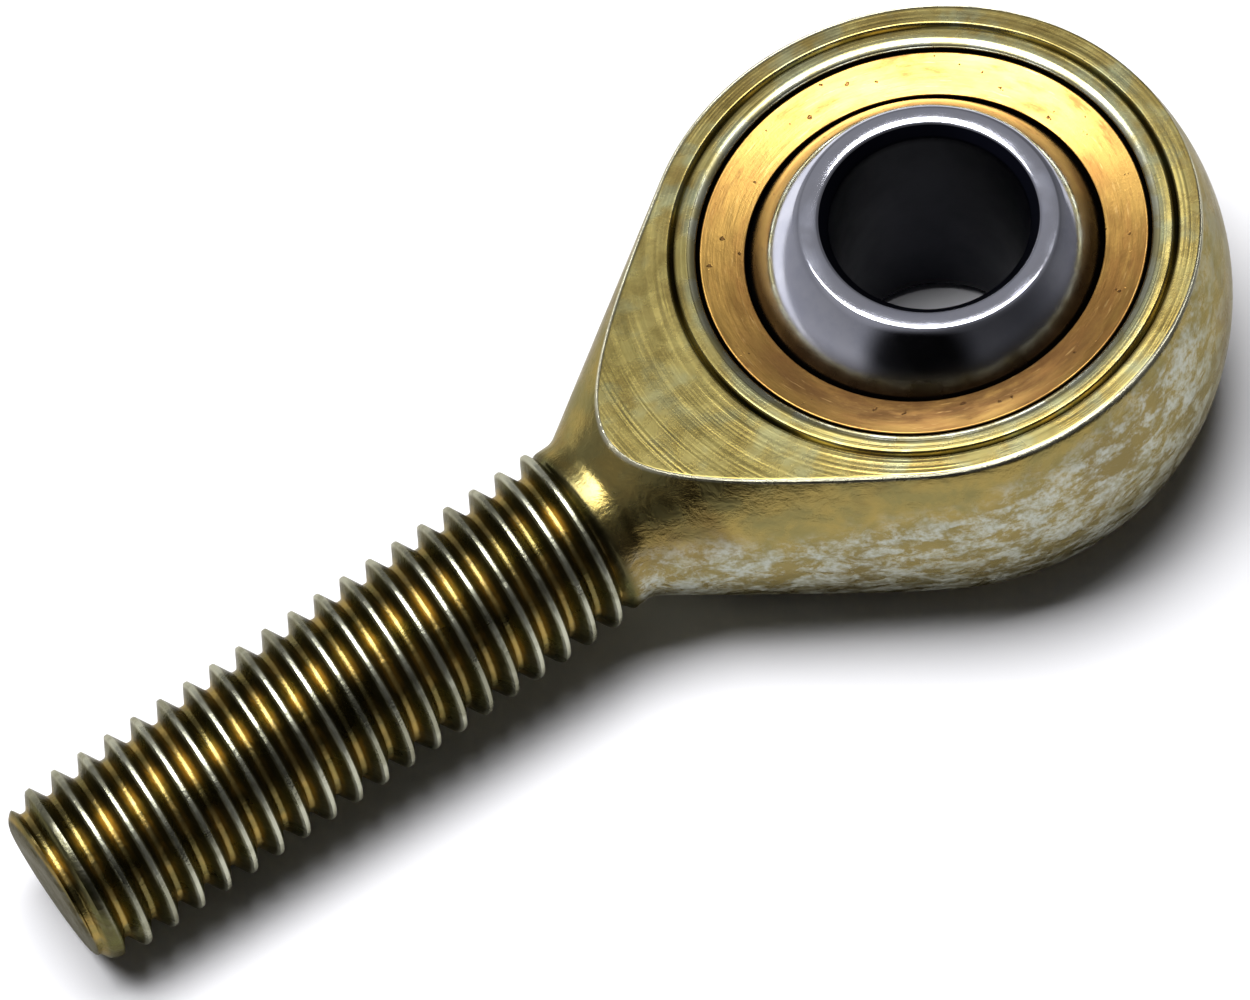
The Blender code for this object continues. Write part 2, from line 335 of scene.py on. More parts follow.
def worn(x, turn):
    """Small dents and burrs on a crest."""
    spot = Vector((x / MM * 0.9, 3.2 * math.cos(turn), 3.2 * math.sin(turn)))
    fine = noise.noise(spot * 2.3)
    coarse = noise.noise(spot * 0.6 + Vector((7.0, 0.0, 0.0)))
    return (0.012 * fine + 0.010 * coarse) * MM


def thread_rows(shape, angles):
    """The thread's surface, on rows that follow its left-hand helix, clamped to a ring at each end."""
    section = thread_section()
    per_turn = len(section)
    above_neck = NECK_END + PITCH * (2 + angles[0] / (2 * math.pi))
    turns = math.ceil((above_neck - shank_end) / PITCH) + 2
    top = CREST_AT_Y + PITCH * math.ceil((above_neck - CREST_AT_Y) / PITCH)
    columns = []
    for turn in angles:
        column = []
        for step in range(turns * per_turn + 1):
            along, depth = section[step % per_turn]
            x = top - PITCH * (step // per_turn) - along - PITCH * turn / (2 * math.pi)
            x = max(shank_end, min(NECK_END, x))
            crest_wear = worn(x, turn) * max(0.0, 1.0 - depth / (0.2 * MM))
            ridge = min(THREAD_RADIUS - depth, crest_limit(x)) - abs(crest_wear)
            radius = max(core_radius(x), ridge)
            if x in (shank_end, NECK_END):
                radius = core_radius(x)
            column.append(shape.verts.new((x, radius * math.cos(turn), radius * math.sin(turn))))
        columns.append(column)
    last = len(columns[0]) - 1
    for i, column in enumerate(columns):
        shift = per_turn if i == len(columns) - 1 else 0
        beside = columns[(i + 1) % len(columns)]
        for step in range(last):
            a, b = min(step + shift, last), min(step + 1 + shift, last)
            if a != b:
                shape.faces.new((column[step], column[step + 1], beside[b], beside[a]))
            else:
                shape.faces.new((column[step], column[step + 1], beside[a]))


def face_rows(shape, boundary, side):
    """The rings of one milled face: land, staked groove, lip, and down to the mouth of the seat."""
    groove = [
        (0.23, 0.0),
        (0.17, 0.0),
        (0.13, 0.02),
        (0.10, 0.07),
        (0.045, 0.30),
        (0.0, 0.36),
        (-0.045, 0.30),
        (-0.10, 0.07),
        (-0.13, 0.02),
        (-0.17, 0.0),
        (-0.23, 0.0),
    ]
    profile = [(STAKE_RADIUS + out * MM, half_head - down * MM) for out, down in groove]
    lip = [
        (0.44, 0.0),
        (0.37, 0.0),
        (0.29, 0.012),
        (0.20, 0.042),
        (0.12, 0.076),
        (0.05, 0.122),
        (0.01, 0.185),
        (0.0, 0.28),
    ]
    profile += [(LIP_RADIUS + out * MM, half_head - down * MM) for out, down in lip]
    profile.append((SEAT_RADIUS, race_face - 0.32 * MM))
    rows = [boundary]
    angles = [math.atan2(vert.co.y, vert.co.x) for vert in boundary]
    inset = [vert.co * (1.0 - 0.06 * MM / vert.co.to_2d().length) for vert in boundary]
    rows.append([shape.verts.new((place.x, place.y, side * half_head)) for place in inset])
    # The groove's depth wavers round the eye.
    for radius, height in profile:
        drop = half_head - height if abs(radius - STAKE_RADIUS) < 0.25 * MM else 0.0
        row = []
        for a in angles:
            lift = drop * (0.40 + 0.45 * noise.noise((2.2 * math.cos(a), 2.2 * math.sin(a), side)))
            row.append((radius * math.cos(a), radius * math.sin(a), side * (height + lift)))
        rows.append([shape.verts.new(place) for place in row])
    add_rows(shape, rows)
    return rows[-1]


def make_body():
    """The eye and the shank as one closed mesh, in two halves joined by the faces and the thread."""
    shape = bmesh.new()
    crown = crown_stations()
    head = head_stations()
    neck = neck_stations(head[-1])
    stations = crown + head + neck
    sides = {}
    for side in (1, -1):
        rows = []
        for x, radius in stations:
            places = [(x, side * y, z) for _, y, z in side_points(x, radius)]
            rows.append([shape.verts.new(place) for place in places])
        add_rows(shape, rows, closed=False)
        sides[side] = rows[len(crown) : len(crown) + len(head)]
    mouths = []
    for end, side in ((-1, 1), (0, -1)):
        near = [row[end] for row in sides[1]]
        far = [row[end] for row in sides[-1]]
        mouths.append(face_rows(shape, near + far[-2:0:-1], side))
    add_rows(shape, mouths)
    first = ROUND_STEPS
    last = SIDE_STEPS - ROUND_STEPS
    half_turn = [math.pi * ((i - first) / (last - first) - 0.5) for i in range(first, last)]
    angles = half_turn + [turn + math.pi for turn in half_turn]
    thread_rows(shape, angles)
    # The floor of the nipple's hole and the end of the shank are discs.
    for x, rim in (crown[0], (shank_end, core_radius(shank_end))):
        rings = []
        for radius in (rim, 0.5 * rim):
            places = [(x, radius * math.cos(a), radius * math.sin(a)) for a in angles]
            rings.append([shape.verts.new(place) for place in places])
        add_rows(shape, rings)
        add_fan(shape, rings[1], (x, 0.0, 0.0))
    return new_piece("eye_and_shank", shape, "housing", "rod_end_body", "yellow_zinc_steel")


# --- races, ball, grease and nipple -------------------------------------------------------


def rounded(points, radius):
    """The closed outline with each corner rounded, and a point past each arc that keeps flats flat."""
    found = []
    count = len(points)
    for i, (x, y) in enumerate(points):
        corner = Vector((x, y))
        back = Vector(points[i - 1]) - corner
        ahead = Vector(points[(i + 1) % count]) - corner
        reach = min(radius, 0.4 * back.length, 0.4 * ahead.length)
        start = corner + back.normalized() * reach
        end = corner + ahead.normalized() * reach
        places = [corner.lerp(start, 1.25)]
        for step in range(CORNER_STEPS + 1):
            t = step / CORNER_STEPS
            places.append(start.lerp(corner, t).lerp(corner.lerp(end, t), t))
        places.append(corner.lerp(end, 1.25))
        found += [(place.x, place.y) for place in places]
    return found


def make_race(name, node, side):
    """One bronze race. Its face falls from the rim to the mouth, and its seat is part of a sphere."""
    race_bore = BALL_RADIUS + RUNNING_GAP
    seat = arc(race_bore, math.acos(half_split / race_bore), math.asin(RACE_MOUTH / race_bore), 20)
    outline = [
        (RACE_MOUTH, race_face - RACE_DISH),
        (race_radius - 0.25 * MM, race_face),
        (race_radius, race_face - 0.35 * MM),
        (race_radius, half_split),
        (seat[0][0], half_split),
    ]
    # The seat's arc takes the place of the outline's last rounded corner.
    profile = rounded(outline, 0.05 * MM)[: -(CORNER_STEPS + 3)] + seat
    shape = turned([(r, side * h) for r, h in profile], TURNED_STEPS)
    return new_piece(name, shape, "housing", node, "bronze")


def make_ball():
    """The ball about its own axis, then leaned over to where it rests."""
    flat = math.asin(math.sqrt(BALL_RADIUS**2 - HALF_BALL**2) / BALL_RADIUS)
    mouth = BORE_RADIUS + BORE_CHAMFER
    edge = 0.09 * MM
    over = edge / BALL_RADIUS
    corner = BALL_RADIUS * math.sin(flat)
    bore_end = HALF_BALL - BORE_CHAMFER
    bore = [(BORE_RADIUS, bore_end * share) for share in (0.0, 0.2, 0.4, 0.6, 0.8, 0.93)]
    top = [
        (BORE_RADIUS, bore_end - 0.06 * MM),
        (BORE_RADIUS + 0.015 * MM, bore_end + 0.01 * MM),
        (BORE_RADIUS + 0.06 * MM, bore_end + 0.06 * MM),
        (mouth - 0.08 * MM, HALF_BALL - 0.08 * MM),
        (mouth - 0.035 * MM, HALF_BALL - 0.037 * MM),
        (mouth + 0.01 * MM, HALF_BALL - 0.011 * MM),
        (mouth + 0.06 * MM, HALF_BALL),
        (corner - edge, HALF_BALL),
        (corner - 0.45 * edge, HALF_BALL - 0.07 * edge),
        (corner - 0.05 * edge, HALF_BALL - 0.25 * edge),
    ]
    sphere = arc(BALL_RADIUS, flat + over, math.pi - flat - over, 56)
    upper = bore + top
    lower = [(r, -h) for r, h in reversed(upper[1:])]
    shape = turned(upper + sphere + lower, TURNED_STEPS)
    bmesh.ops.transform(shape, matrix=ball_tilt, verts=shape.verts)
    return new_piece("swivel_ball", shape, "swivel_ball", "ball", "chromed_steel")


def make_grease():
    """Grease squeezed into the ring between the race halves, with a slightly uneven surface."""
    half = grease_high.z
    outer = grease_high.x
    inner = BALL_RADIUS + 0.16 * MM
    profile = rounded([(outer, half), (outer, -half), (inner, -half), (inner, half)], 0.12 * MM)
    shape = turned(profile, TURNED_STEPS)
    for vert in shape.verts:
        sag = noise.noise(vert.co / MM * 1.4) * 0.03 * MM
        vert.co.z *= 1.0 - abs(sag) / half
    return new_piece("grease", shape, "grease", "grease_ring", "grease")


def make_nipple():
    foot, top = nipple_low.x, nipple_high.x
    radius = nipple_high.y
    outline = [
        (0.9 * MM, top),
        (radius - 0.08 * MM, top),
        (radius, top - 0.12 * MM),
        (radius, foot),
        (0.36 * MM, foot),
        (0.36 * MM, foot + 0.25 * MM),
        (0.68 * MM, foot + 0.25 * MM),
        (0.68 * MM, top - 0.65 * MM),
        (0.35 * MM, top - 0.40 * MM),
        (0.42 * MM, top - 0.30 * MM),
    ]
    shape = turned(rounded(outline, 0.04 * MM), SMALL_STEPS, along_x=True)
    return new_piece("nipple_shell", shape, "housing", "grease_nipple", "nipple_steel")


def make_check_ball():
    radius = (valve_high.x - valve_low.x) / 2
    center = (valve_high.x + valve_low.x) / 2
    profile = [(r, center + h) for r, h in arc(radius, 0.0, math.pi, 28)]
    shape = turned(profile, SMALL_STEPS, along_x=True, ring=False)
    return new_piece("check_ball", shape, "check_ball", "nipple_check_ball", "chromed_steel")


def make_spring():
    """A coil of round wire."""
    wire = 0.06 * MM
    coil = spring_high.y - wire
    low = spring_low.x + wire
    rise = spring_high.x - wire - low
    turns = 3
    steps = 60
    around = 12
    shape = bmesh.new()
    rows = []
    for i in range(turns * steps + 1):
        turn = 2 * math.pi * i / steps
        middle = low + rise * i / (turns * steps)
        row = []
        for k in range(around):
            swing = 2 * math.pi * k / around
            radius = coil + wire * math.cos(swing)
            x = middle + wire * math.sin(swing)
            row.append(shape.verts.new((x, radius * math.cos(turn), radius * math.sin(turn))))
        rows.append(row)
    add_rows(shape, rows)
    shape.faces.new(rows[0])
    shape.faces.new(rows[-1])
    spring = new_piece("valve_spring", shape, "housing", "nipple_spring", "spring_steel")
    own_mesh(spring)
    return spring


# --- materials ----------------------------------------------------------------------------


class Shader:
    """A material's node tree, built from small named steps. Places are in millimetres."""

    def __init__(self, name):
        self.material = bpy.data.materials.new(name)
        self.material.use_nodes = True
        self.tree = self.material.node_tree
        self.tree.nodes.clear()
        place = self.add("ShaderNodeTexCoord").outputs["Object"]
        self.place = self.vector("SCALE", place, scale=1 / MM)
        split = self.add("ShaderNodeSeparateXYZ", Vector=self.place)
        self.x, self.y, self.z = split.outputs

    def add(self, kind, settings=None, **inputs):
        """A node with its settings and its inputs, each input a socket to link or a value to set."""
        node = self.tree.nodes.new(kind)
        for key, value in (settings or {}).items():
            setattr(node, key, value)
        for key, value in inputs.items():
            self.plug(node.inputs[key.replace("_", " ")], value)
        return node

    def plug(self, socket, value):
        if isinstance(value, bpy.types.NodeSocket):
            self.tree.links.new(value, socket)
        else:
            socket.default_value = value

    def math(self, operation, *values):
        node = self.add("ShaderNodeMath", {"operation": operation})
        for socket, value in zip(node.inputs, values):
            self.plug(socket, value)
        return node.outputs[0]

    def times(self, first, second):
        return self.math("MULTIPLY", first, second)

    def plus(self, first, second):
        return self.math("ADD", first, second)

    def vector(self, operation, *values, scale=None):
        node = self.add("ShaderNodeVectorMath", {"operation": operation})
        for socket, value in zip(node.inputs, values):
            self.plug(socket, value)
        if scale is not None:
            node.inputs["Scale"].default_value = scale
        return node.outputs[0]

    def combine(self, x, y, z):
        return self.add("ShaderNodeCombineXYZ", X=x, Y=y, Z=z).outputs[0]

    def noise(self, scale, detail=3.0, roughness=0.55, place=None, distortion=0.0):
        """Noise with about `scale` blots to the millimetre."""
        node = self.add(
            "ShaderNodeTexNoise",
            Vector=place or self.place,
            Scale=scale,
            Detail=detail,
            Roughness=roughness,
            Distortion=distortion,
        )
        return node.outputs["Fac"]

    def ring_noise(self, radius, scale, drift, detail):
        """Noise in rings round Z, `scale` to the millimetre across them and `drift` along them."""
        place = self.combine(
            self.times(self.x, drift),
            self.times(self.y, drift),
            self.times(radius, scale),
        )
        return self.noise(1.0, detail, 0.65, place=place)

    def span(self, value, low, high, start=0.0, end=1.0):
        """start where value is at low, end where it is at high, and smooth between."""
        node = self.add("ShaderNodeMapRange", {"interpolation_type": "SMOOTHSTEP"})
        for socket, given in zip(node.inputs, (value, low, high, start, end)):
            self.plug(socket, given)
        return node.outputs[0]

    def mix(self, factor, first, second):
        node = self.add("ShaderNodeMix", {"data_type": "RGBA"})
        self.plug(node.inputs["Factor"], factor)
        self.plug(node.inputs[6], first)
        self.plug(node.inputs[7], second)
        return node.outputs[2]

    def bump(self, height, depth, normal=None):
        """Raises the surface by height (0 to 1) times depth in millimetres."""
        node = self.add("ShaderNodeBump", Height=height, Distance=depth * MM)
        if normal:
            self.plug(node.inputs["Normal"], normal)
        return node.outputs[0]

    def round_axis(self, across, along):
        """Distance from an axis, given the two coordinates across it."""
        first = self.times(across, across)
        second = self.times(along, along)
        return self.math("SQRT", self.plus(first, second))

    def metal(self, **inputs):
        """Closes the tree with a metal surface and returns the material."""
        surface = self.add("ShaderNodeBsdfPrincipled", Metallic=1.0, **inputs)
        output = self.add("ShaderNodeOutputMaterial")
        self.tree.links.new(surface.outputs[0], output.inputs["Surface"])
        return self.material


def tint(red, green, blue):
    """A colour from its 0 to 255 screen values, made linear."""
    shares = [level / 255 for level in (red, green, blue)]
    return tuple(s / 12.92 if s <= 0.04045 else ((s + 0.055) / 1.055) ** 2.4 for s in shares) + (1.0,)


def ringed_face(s, radius, on_face, rings, keen, cloud, coat):
    """The coat on the milled faces: turned rings, a greyer land and a rubbed lip round the race."""
    ring_dark = tint(84, 76, 42)
    ring_light = tint(206, 188, 114)
    grey_green = tint(136, 142, 114)
    deep_olive = tint(112, 98, 52)
    land_grey = tint(150, 154, 124)
    lip_gold = tint(168, 160, 118)
    lip_pale = tint(196, 196, 170)
    shank_side_shade_olive = tint(106, 98, 56)
    lip = LIP_RADIUS / MM
    stake = STAKE_RADIUS / MM

    coat = s.mix(s.times(s.span(rings, 0.50, 0.37), s.times(keen, 0.75)), coat, ring_dark)
    coat = s.mix(s.times(s.span(rings, 0.52, 0.64), s.times(keen, 0.65)), coat, ring_light)
    wash = s.noise(0.45, 3.0, 0.6)
    coat = s.mix(s.times(s.span(wash, 0.50, 0.66), 0.55), coat, grey_green)
    coat = s.mix(s.times(s.span(wash, 0.46, 0.34), 0.5), coat, deep_olive)
    land = s.times(s.span(radius, stake - 0.25, stake - 0.55), 0.6)
    coat = s.mix(s.times(land, s.span(cloud, 0.35, 0.6)), coat, land_grey)
    rubbed_lip = s.mix(s.span(cloud, 0.4, 0.6), lip_gold, lip_pale)
    coat = s.mix(s.span(radius, lip + 0.37, lip + 0.27), coat, rubbed_lip)
    # Painted shade: the faces turn darker olive towards the shank.
    shaded_toward_shank = s.times(s.span(s.x, -6.0, -11.0), on_face)
    return s.mix(s.times(shaded_toward_shank, 0.55), coat, shank_side_shade_olive)


def thread_coat(s, on_thread, cloud, blotch, coat):
    """Dark flanks, a gold root and rubbed crests, duller where grime has settled."""
    flank_olive = tint(80, 74, 50)
    root_gold = tint(156, 132, 74)
    green = tint(98, 100, 60)
    grey = tint(112, 108, 88)
    grime = tint(72, 68, 44)
    crest_steel = tint(182, 182, 162)
    top = THREAD_RADIUS / MM

    radius = s.round_axis(s.y, s.z)
    flank = s.mix(s.span(radius, top - 0.38, top - 0.68), flank_olive, root_gold)
    flank = s.mix(s.times(s.span(cloud, 0.42, 0.62), 0.5), flank, green)
    flank = s.mix(s.times(s.span(blotch, 0.52, 0.64), 0.4), flank, grey)
    grimy = s.span(s.noise(0.35, 3.0, 0.6), 0.42, 0.60)
    flank = s.mix(s.times(grimy, 0.55), flank, grime)
    coat = s.mix(on_thread, coat, flank)
    crest = s.times(s.span(radius, top - 0.20, top - 0.06), on_thread)
    return s.mix(s.times(crest, s.span(grimy, 0.0, 1.0, 0.95, 0.45)), coat, crest_steel)


def yellow_zinc():
    """Yellow chromate on zinc: olive gold, turned rings on the faces, pale rubbed blotches, dark roots."""
    s = Shader("yellow_zinc_steel")
    gold = tint(152, 133, 76)
    olive = tint(130, 121, 76)
    brown = tint(104, 80, 46)
    groove_shade_black = tint(30, 32, 26)
    lip_gap_shade_black = tint(20, 16, 12)
    side_olive = tint(124, 112, 74)
    side_khaki = tint(142, 136, 102)
    rubbed_grey = tint(174, 180, 172)
    rubbed_white = tint(198, 204, 200)
    worn_rim_and_highlight = tint(214, 212, 190)
    end_dark = tint(70, 65, 49)
    end_grey = tint(92, 91, 81)
    at_grazing = tint(205, 202, 190)
    face = half_head / MM
    stake = STAKE_RADIUS / MM
    lip = LIP_RADIUS / MM
    neck = NECK_END / MM
    end = shank_end / MM

    # Masks: 1 on the part named, 0 off it.
    radius = s.round_axis(s.x, s.y)
    height = s.math("ABSOLUTE", s.z)
    on_thread = s.span(s.x, neck - 0.1, neck - 0.6)
    in_eye = s.times(s.span(height, face - 0.48, face - 0.40), s.span(radius, stake + 0.65, stake + 0.50))
    milled = s.times(s.span(height, face - 0.045, face - 0.025), s.span(s.x, neck - 0.1, neck + 1.2))
    on_face = s.math("MAXIMUM", in_eye, milled)
    on_flat = s.times(s.span(height, face - 0.013, face - 0.002), on_face)
    outside_lip = s.span(radius, stake + 0.35, stake + 0.50)
    end_face = s.span(s.x, end + 0.18, end + 0.06)

    # Noises, from the broadest to the finest.
    broad = s.noise(0.28, 4.0, 0.6)
    cloud = s.noise(0.7, 3.0, 0.55, distortion=0.3)
    stretched = s.vector("MULTIPLY", s.place, (0.8, 0.9, 1.3))
    smear = s.noise(1.0, 6.0, 0.68, place=stretched, distortion=0.4)
    speck = s.noise(4.5, 4.0, 0.65)
    blotch = s.plus(s.times(smear, 0.72), s.times(speck, 0.28))
    fine_rings = s.ring_noise(radius, 9.0, 0.08, 1.0)
    wide_rings = s.ring_noise(radius, 4.6, 0.07, 1.0)
    rings = s.plus(s.times(fine_rings, 0.45), s.times(wide_rings, 0.55))
    keen = s.span(s.noise(0.20, 2.0, 0.5), 0.40, 0.60, 0.35, 1.0)

    coat = s.mix(s.span(cloud, 0.30, 0.70), olive, gold)
    coat = s.mix(s.times(s.span(broad, 0.48, 0.70), 0.55), coat, brown)
    coat = s.mix(on_face, coat, ringed_face(s, radius, on_face, rings, keen, cloud, coat))
    # Painted shade: the staked groove is darkened nearly to black.
    groove = s.times(s.span(height, face, face - 0.25), s.span(radius, stake + 0.22, stake + 0.18))
    groove = s.times(groove, s.span(radius, stake - 0.25, stake - 0.20))
    coat = s.mix(s.times(s.times(groove, on_face), 0.85), coat, groove_shade_black)
    # Painted shade: the gap between the lip and the race is darkened nearly to black.
    gap = s.times(s.span(radius, lip + 0.06, lip + 0.01), s.span(height, face - 0.10, face - 0.25))
    coat = s.mix(s.times(gap, 0.95), coat, lip_gap_shade_black)

    # The coat is rubbed dull on the lower side walls, up to a wavy line that rises to the crown.
    off_face = s.times(s.math("SUBTRACT", 1.0, on_face), s.math("SUBTRACT", 1.0, on_thread))
    wavy = s.math("SUBTRACT", s.z, s.math("MULTIPLY_ADD", broad, 3.0, -1.5))
    over_line = s.math("SUBTRACT", wavy, s.math("MULTIPLY_ADD", s.x, 0.16, 3.9))
    lower = s.times(s.span(over_line, 0.6, -1.4), s.span(s.x, 8.5, 4.5, 0.3, 1.0))
    lower = s.times(off_face, lower)
    under = s.mix(s.span(smear, 0.40, 0.62), side_olive, side_khaki)
    coat = s.mix(s.times(lower, 0.7), coat, under)
    worn_side = s.times(s.span(blotch, 0.43, 0.62), lower)
    rubbed = s.mix(s.span(speck, 0.36, 0.62), rubbed_grey, rubbed_white)
    coat = s.mix(s.times(worn_side, 0.62), coat, rubbed)

    # A pale band round the edges of the faces: plating worn bright, and a painted highlight along the
    # rounded edge.
    rim = s.times(s.span(height, face - 0.16, face - 0.06), s.math("SUBTRACT", 1.0, on_flat))
    coat = s.mix(s.times(s.times(rim, outside_lip), 0.7), coat, worn_rim_and_highlight)
    coat = thread_coat(s, on_thread, cloud, blotch, coat)
    coat = s.mix(end_face, coat, s.mix(s.span(blotch, 0.42, 0.58), end_dark, end_grey))

    rough = s.span(cloud, 0.3, 0.7, 0.30, 0.22)
    for mask, more in ((worn_side, 0.18), (end_face, 0.16), (on_thread, 0.04)):
        rough = s.plus(rough, s.times(mask, more))
    grain = s.bump(s.noise(7.0, 3.0, 0.6), 0.003)
    dents = s.bump(s.times(smear, s.math("SUBTRACT", 1.0, on_face)), 0.055, grain)
    normal = s.bump(s.times(s.times(rings, keen), on_flat), 0.018, dents)
    return s.metal(Base_Color=coat, Roughness=rough, Normal=normal, Specular_Tint=at_grazing)


def bronze():
    """Turned bronze with tarnish drawn out along the turning, and painted shade in the gap at its rim."""
    s = Shader("bronze")
    yellow = tint(184, 146, 78)
    orange = tint(164, 122, 66)
    stain_brown = tint(104, 72, 42)
    grease_and_shade_brown = tint(96, 68, 42)
    bright = tint(226, 188, 120)
    pit_brown = tint(84, 56, 34)
    rim_gap_shade_black = tint(26, 20, 14)
    mouth_shade_brown = tint(60, 42, 24)
    rim = race_radius / MM
    mouth = RACE_MOUTH / MM

    radius = s.round_axis(s.x, s.y)
    rings = s.ring_noise(radius, 8.0, 0.3, 3.0)
    tarnish = s.ring_noise(radius, 0.9, 0.22, 4.0)
    stain = s.ring_noise(radius, 2.0, 0.55, 5.0)
    scratch = s.ring_noise(radius, 9.0, 0.9, 2.0)
    pits = s.span(s.noise(2.1, 2.0, 0.5), 0.70, 0.74)
    coat = s.mix(s.span(tarnish, 0.38, 0.64), yellow, orange)
    coat = s.mix(s.times(s.span(stain, 0.54, 0.72), 0.6), coat, stain_brown)
    # Grease smears and painted shade darken the part of the face that lies towards -X and -Y.
    near = s.plus(s.times(s.x, -0.57), s.times(s.y, -0.82))
    grime = s.times(s.span(near, 1.0, 6.5), s.span(radius, mouth + 1.54, mouth + 0.79, 0.25, 1.0))
    grime = s.times(grime, s.span(stain, 0.25, 0.60, 0.45, 1.0))
    coat = s.mix(s.times(grime, 0.85), coat, grease_and_shade_brown)
    coat = s.mix(s.times(s.span(scratch, 0.62, 0.72), 0.35), coat, bright)
    coat = s.mix(s.times(pits, 0.8), coat, pit_brown)
    # Painted shade: near black in the gap at the race's rim.
    coat = s.mix(s.span(radius, rim - 0.27, rim - 0.20), coat, rim_gap_shade_black)
    # Painted shade: dark brown at the mouth, where the race meets the ball.
    coat = s.mix(s.span(radius, mouth + 0.06, mouth), coat, mouth_shade_brown)
    rough = s.plus(s.span(stain, 0.35, 0.7, 0.32, 0.42), s.times(grime, 0.12))
    grain = s.bump(s.noise(8.0, 3.0, 0.6), 0.004)
    normal = s.bump(rings, 0.008, s.bump(pits, -0.03, grain))
    return s.metal(Base_Color=coat, Roughness=rough, Normal=normal)


def chrome():
    """Bright chrome, with painted shade, near black, in the bore and a brown band of painted shade where
    the ball meets the race.
    """
    s = Shader("chromed_steel")
    bright = tint(204, 205, 214)
    clouded = tint(190, 192, 204)
    bore_shade_black = tint(16, 17, 26)
    contact_shade_brown = tint(52, 44, 30)
    flat = HALF_BALL / MM
    face = half_head / MM
    mouth = (BORE_RADIUS + BORE_CHAMFER) / MM

    # Places about the ball's own axis, which leans by ball_tilt in the frame.
    own = s.add("ShaderNodeVectorRotate", {"rotation_type": "AXIS_ANGLE"}, Vector=s.place)
    own.inputs["Axis"].default_value = joints["ball_tilt"]["axis"]
    own.inputs["Angle"].default_value = sum(tilt_range) / 2
    across, along, up = s.add("ShaderNodeSeparateXYZ", Vector=own.outputs[0]).outputs
    height = s.math("ABSOLUTE", up)
    radius = s.round_axis(across, along)

    smudge = s.noise(0.6, 4.0, 0.6)
    coat = s.mix(s.span(smudge, 0.35, 0.7), bright, clouded)
    # Painted shade: the bore is darkened nearly to black.
    in_bore = s.times(s.span(radius, mouth - 0.03, mouth - 0.08), s.span(height, flat + 0.2, flat + 0.1))
    coat = s.mix(in_bore, coat, bore_shade_black)
    # Painted shade: a brown band on the sphere where it goes into the race.
    race_contact_shade = s.times(s.span(s.math("ABSOLUTE", s.z), face + 0.55, face - 0.35), s.span(radius, 5.5, 5.9))
    race_contact_shade = s.times(race_contact_shade, s.span(smudge, 0.2, 0.6, 0.80, 0.95))
    coat = s.mix(race_contact_shade, coat, contact_shade_brown)
    rough = s.span(smudge, 0.35, 0.7, 0.07, 0.13)
    rough = s.plus(rough, s.times(s.math("MAXIMUM", in_bore, race_contact_shade), 0.18))
    rough = s.plus(rough, s.times(in_bore, 0.22))
    fine = s.bump(s.noise(14.0, 2.0, 0.5), 0.0008)
    on_flat = s.span(height, flat - 0.010, flat - 0.002)
    rings = s.noise(16.0, 2.0, 0.6, place=s.combine(radius, 0.0, 0.0))
    normal = s.bump(s.times(rings, on_flat), 0.002, fine)
    return s.metal(Base_Color=coat, Roughness=rough, Normal=normal)


def grease():
    """Amber grease with soft lumps."""
    s = Shader("grease")
    lumps = s.noise(1.8, 3.0, 0.6)
    coat = s.mix(s.span(lumps, 0.35, 0.65), tint(70, 48, 20), tint(112, 78, 34))
    normal = s.bump(s.noise(3.0, 2.0, 0.5), 0.03)
    surface = s.add("ShaderNodeBsdfPrincipled", Base_Color=coat, Roughness=0.28, Normal=normal)
    surface.inputs["Subsurface Weight"].default_value = 0.15
    surface.inputs["Subsurface Scale"].default_value = 0.3 * MM
    output = s.add("ShaderNodeOutputMaterial")
    s.tree.links.new(surface.outputs[0], output.inputs["Surface"])
    return s.material


def drawn_steel(name, light, dark):
    """Small bright steel parts with fine marks and a little oxide."""
    s = Shader(name)
    oxide = s.noise(1.6, 4.0, 0.6)
    coat = s.mix(s.span(oxide, 0.40, 0.68), light, dark)
    rough = s.span(oxide, 0.35, 0.7, 0.22, 0.40)
    normal = s.bump(s.noise(11.0, 3.0, 0.6), 0.004)
    return s.metal(Base_Color=coat, Roughness=rough, Normal=normal)


def paint_all():
    finishes = {
        "yellow_zinc_steel": yellow_zinc(),
        "bronze": bronze(),
        "chromed_steel": chrome(),
        "grease": grease(),
        "nipple_steel": drawn_steel("nipple_steel", tint(178, 166, 122), tint(132, 116, 72)),
        "spring_steel": drawn_steel("spring_steel", tint(186, 188, 192), tint(120, 118, 116)),
    }
    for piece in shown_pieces():
        if "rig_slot" in piece:
            piece.data.materials.clear()
            piece.data.materials.append(finishes[piece["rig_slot"]])


# --- floor, light and camera --------------------------------------------------------------

# The part lies on the ball's lower flat and the thread, so the floor leans in the frame as the ball
# does. It stays a hair under the flat. VIEW angles are in degrees.
FLOOR_NORMAL = ball_tilt.to_3x3() @ Vector((0.0, 0.0, 1.0))
FLOOR_DROP = HALF_BALL + 0.02 * MM
VIEW_AZIMUTH = -20.288
VIEW_ELEVATION = 58.51
VIEW_ROLL = -16.462
VIEW_DISTANCE = 259.587 * MM
VIEW_TARGET = Vector((-15.192, 0.149, 0.0)) * MM
SENSOR = 36.0
LENS = 187.25
FLOOR_HALF = 0.6
SOFTBOX_AWAY = Vector((-0.015, 0.190, 0.981))
SOFTBOX_EDGE = Vector((0.939, -0.347, 0.0))
SOFTBOX_SIZE = (0.42, 0.25)
SOFTBOX_DISTANCE = 0.5
SOFTBOX_POWER = 4.1
ROOM_ON_FLOOR = 0.15


def toward(azimuth, elevation):
    """Unit vector to a light or camera. Azimuth 0 is on the -Y side and 90 degrees on the +X side."""
    a, e = math.radians(azimuth), math.radians(elevation)
    return Vector((math.sin(a) * math.cos(e), -math.cos(a) * math.cos(e), math.sin(e)))


